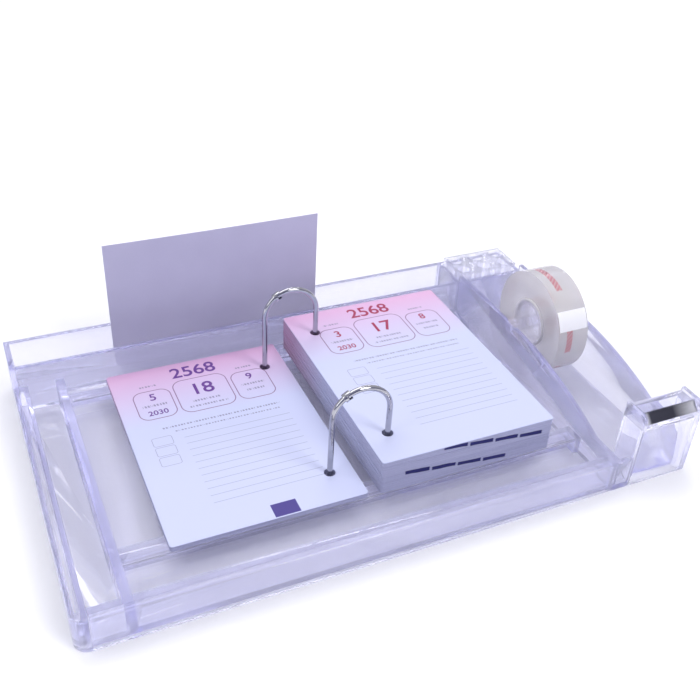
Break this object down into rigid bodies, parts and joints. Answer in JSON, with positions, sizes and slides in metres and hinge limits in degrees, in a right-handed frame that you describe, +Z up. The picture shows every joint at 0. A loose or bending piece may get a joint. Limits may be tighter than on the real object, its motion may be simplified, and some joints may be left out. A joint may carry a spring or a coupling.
{
  "type": "flip desk calendar",
  "caption": "Clear desk organiser base with a two-arch flip page calendar, pen and letter troughs, a card stand, a pen rack and a tape dispenser with cutter.",
  "frame": {"origin": "centre of the base outline, on the surface that the calendar stands on", "axes": "+X to the right along the base, +Y to the back, +Z up"},
  "size_m": [0.326, 0.2, 0.0839],
  "materials": {
    "clear_plastic": "clear, polished",
    "hub_plastic": "clear, polished",
    "steel": "bright, toothed edge",
    "chrome_wire": "polished",
    "chrome_fitting": "polished",
    "paper": "uncoated paper, printed",
    "card": "plain card",
    "core_card": "plain board",
    "tape": "wound clear film"
  },
  "bodies": {
    "base": {"base_tray": "clear_plastic", "side_module": "clear_plastic", "cutter_post": "clear_plastic", "cutter_blade": "steel", "pen_rack": "clear_plastic", "left_pad": "paper", "right_pad_lower": "paper", "right_pad_upper": "paper", "front_arch_post": "chrome_wire", "rear_arch_post": "chrome_wire", "front_arch_clip": "chrome_fitting", "rear_arch_clip": "chrome_fitting", "front_post_nut": "chrome_fitting", "rear_post_nut": "chrome_fitting"},
    "leaf_strip": {"leaf_strip": "paper"},
    "leaf_panel": {"leaf_panel": "paper"},
    "front_arch": {"front_arch_swing": "chrome_wire", "front_swing_nut": "chrome_fitting"},
    "rear_arch": {"rear_arch_swing": "chrome_wire", "rear_swing_nut": "chrome_fitting"},
    "hub": {"hub_left": "hub_plastic", "hub_right": "hub_plastic"},
    "roll": {"tape_core": "core_card", "tape_roll": "tape"},
    "card": {"memo_card": "card"}
  },
  "joints": [
    {"name": "leaf_lift", "type": "slide", "parent": "base", "child": "leaf_strip", "axis": [0, 0, 1], "range_m": [0, 0.012]},
    {"name": "leaf_fold", "type": "hinge", "parent": "leaf_strip", "child": "leaf_panel", "pos_m": [0.014, 0, 0.032], "axis": [0, -1, 0], "range_deg": [0, 90]},
    {"name": "front_arch_swing", "type": "hinge", "parent": "base", "child": "front_arch", "pos_m": [0.00535, -0.0485, 0.03], "axis": [0, 0, 1], "range_deg": [0, 90]},
    {"name": "rear_arch_swing", "type": "hinge", "parent": "base", "child": "rear_arch", "pos_m": [0.00535, 0.0485, 0.03], "axis": [0, 0, 1], "range_deg": [0, 90]},
    {"name": "tape_hub_lift", "type": "slide", "parent": "base", "child": "hub", "axis": [0, 0, 1], "range_m": [0, 0.035]},
    {"name": "tape_roll_spin", "type": "hinge", "parent": "hub", "child": "roll", "pos_m": [0.13875, 0.0115, 0.035], "axis": [1, 0, 0], "continuous": true},
    {"name": "card_slide", "type": "slide", "parent": "base", "child": "card", "axis": [0, 0, 1], "range_m": [0, 0.03]}
  ]
}
